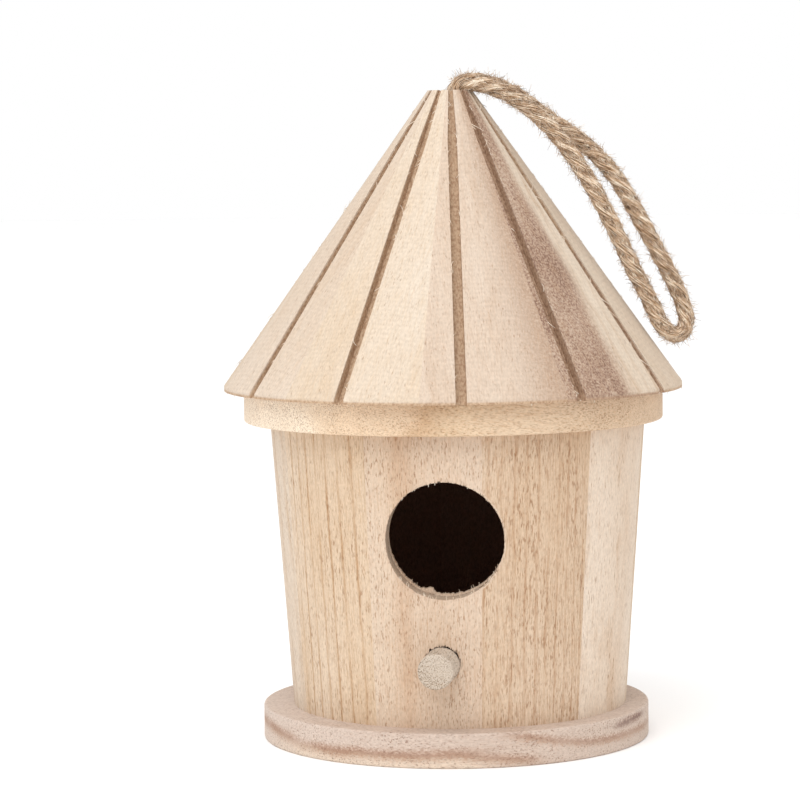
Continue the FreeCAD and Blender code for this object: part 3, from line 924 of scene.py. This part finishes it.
def makeRim(rim):
    rings = entranceRims[rim]
    shape = bmesh.new()
    bmesh.ops.create_circle(shape, segments=entranceRims["segments"], radius=1)
    edges = shape.edges[:]
    layered = [shape.verts[:]]
    for _ in rings[1:]:
        made = bmesh.ops.extrude_edge_only(shape, edges=edges)["geom"]
        edges = [g for g in made if isinstance(g, bmesh.types.BMEdge)]
        layered.append([g for g in made if isinstance(g, bmesh.types.BMVert)])
    first = [e for e in shape.edges if e.is_boundary and e not in set(edges)]
    bmesh.ops.bridge_loops(shape, edges=first + edges)
    for (wider, depth, share), verts in zip(rings, layered):
        for v in verts:
            turn = math.atan2(v.co.y, v.co.x)
            radius = house["entranceRadius"] + wider - share * tearAt(turn, rim)
            x = house["bodyMiddle"] + radius * math.cos(turn)
            z = house["entranceHeight"] + radius * math.sin(turn)
            v.co = Vector((x, bodyFace(x, z) + depth, z)) * mm
    bmesh.ops.recalc_face_normals(shape, faces=shape.faces[:])
    mesh = bpy.data.meshes.new("entrance_rim_" + rim)
    shape.to_mesh(mesh)
    shape.free()
    seam = math.tan(math.radians(house["bodySeam"]))
    for face in mesh.polygons:
        middle = face.center
        face.use_smooth = True
        face.material_index = int(middle.x - house["bodyMiddle"] * mm > -middle.y * seam)
    fronts = [nodes[f"body_stave_{number:02d}"].data.materials[0] for number in (1, 2)]
    piece = addPiece("entrance_rim_" + rim, mesh, *fronts)
    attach(piece, "house")


def grooveSplinters(rng):
    # Fibres torn up along both edges of every groove.
    lines = []
    tip, shoulder, eaves = grooves["halfWidths"]
    for k in range(grooves["count"]):
        middle = math.radians(grooves["first"] + 360 / grooves["count"] * k)
        for _ in range(splinters["perGroove"]):
            down, side = rng.uniform(0.04, 1), rng.choice((-1, 1))
            radius = house["tipRadius"] + house["roofRun"] * down
            past = down - grooves["shoulder"]
            if past < 0:
                half = tip + (shoulder - tip) * down / grooves["shoulder"]
            else:
                half = shoulder + (eaves - shoulder) * past / (1 - grooves["shoulder"])
            turn = middle + side * math.asin(half / radius)
            out = Vector((math.sin(turn), -math.cos(turn), 0))
            slope = (out * house["roofRun"] - Vector((0, 0, house["roofRise"]))).normalized()
            across = Vector((math.cos(turn), math.sin(turn), 0)) * -side
            proud = across.cross(slope) * side
            start = (out * radius + Vector((0, 0, house["roofTip"] - house["roofRise"] * down))) * mm
            long = rng.uniform(0.5, 1.3) if rng.random() < 0.75 else rng.uniform(1.3, 3.2)
            bend, way, lift = rng.uniform(0.2, 0.9), rng.choice((-1, 1)), rng.uniform(0.05, 0.4)
            line = []
            for i in range(5):
                t = i / 4
                at = start + (slope * way * long * t + across * bend * long * t * t - proud * 0.05) * mm
                line.append((at + proud * lift * long * math.sin(math.pi * 0.6 * t) * mm, 1 - 0.6 * t))
            lines.append(line)
    return lines


def eavesSplinters(rng):
    lines = []
    radius, height = splinters["eavesPlace"]
    for _ in range(splinters["eaves"]):
        turn = rng.uniform(0, math.tau)
        out = Vector((math.sin(turn), -math.cos(turn), 0))
        start = (out * radius + Vector((0, 0, height))) * mm
        long, aside = rng.uniform(0.3, 1.0), out.cross(Vector((0, 0, 1))) * rng.uniform(-0.5, 0.5)
        lines.append([(start + (Vector((0, 0, -long)) + aside) * t * mm, 1 - 0.5 * t) for t in (0, 0.5, 1)])
    return lines


def entranceSplinters(rng):
    # They stand up from the hole's lower edge and hang from its upper one, along the grain.
    lines = []
    for _ in range(splinters["entrance"]):
        low = rng.random() < 0.7
        turn = math.radians(rng.uniform(215, 330) if low else rng.uniform(40, 140))
        deep = rng.choice(splinters["depths"])
        x = house["bodyMiddle"] + house["entranceRadius"] * math.cos(turn)
        z = house["entranceHeight"] + house["entranceRadius"] * math.sin(turn)
        long = rng.uniform(0.4, 1.3) * (1 if low else -0.6)
        start = Vector((x, bodyFace(x, z) + deep, z)) * mm
        aside = Vector((rng.uniform(-0.5, 0.5), rng.uniform(-0.4, 0.4), 1)) * long
        lines.append([(start + aside * t * mm, 1.2 - 0.6 * t) for t in (-0.2, 0.5, 1)])
    return lines


def makeSplinters():
    rng = random.Random(11)
    lines = grooveSplinters(rng) + eavesSplinters(rng) + entranceSplinters(rng)
    mesh = tubesMesh("splinters", lines, splinters["thickness"], 0)
    piece = addPiece("splinters", mesh, woodMaterial("torn_wood_fibre", splinters["finish"]))
    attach(piece, "house")


for rim in ("front", "back"):
    makeRim(rim)
makeSplinters()
print("torn edges made")


# Floor and soft daylight

stage = {
    "size": 6.0, "world": 1.0,
    "keyPower": 16.0, "keySize": 1.4, "keyPlace": (-0.3, -1.2, 1.45), "keyAim": (0, 0, 0.09),
}


def makeStage():
    floorMesh = bmesh.new()
    bmesh.ops.create_grid(floorMesh, x_segments=1, y_segments=1, size=stage["size"])
    data = bpy.data.meshes.new("floor")
    floorMesh.to_mesh(data)
    floorMesh.free()
    paper = newMaterial("matt_white_paper")
    shader = addNode(
        paper.node_tree, "ShaderNodeBsdfPrincipled", {"Base Color": linear("#ffffff"), "Roughness": 0.9},
    )
    addNode(paper.node_tree, "ShaderNodeOutputMaterial", {}, {"Surface": shader})
    floor = addPiece("floor", data, paper)
    lamp = bpy.data.lights.new("softbox", "AREA")
    lamp.energy = stage["keyPower"]
    lamp.size = stage["keySize"]
    lit = bpy.data.objects.new("softbox", lamp)
    bpy.context.scene.collection.objects.link(lit)
    lit.location = stage["keyPlace"]
    aim = Vector(stage["keyAim"]) - Vector(stage["keyPlace"])
    lit.rotation_euler = aim.to_track_quat("-Z", "Y").to_euler()
    world = bpy.data.worlds.new("daylight")
    world.use_nodes = True
    bpy.context.scene.world = world
    world.node_tree.nodes["Background"].inputs["Color"].default_value = (1, 1, 1, 1)
    world.node_tree.nodes["Background"].inputs["Strength"].default_value = stage["world"]


makeStage()
print("stage set")
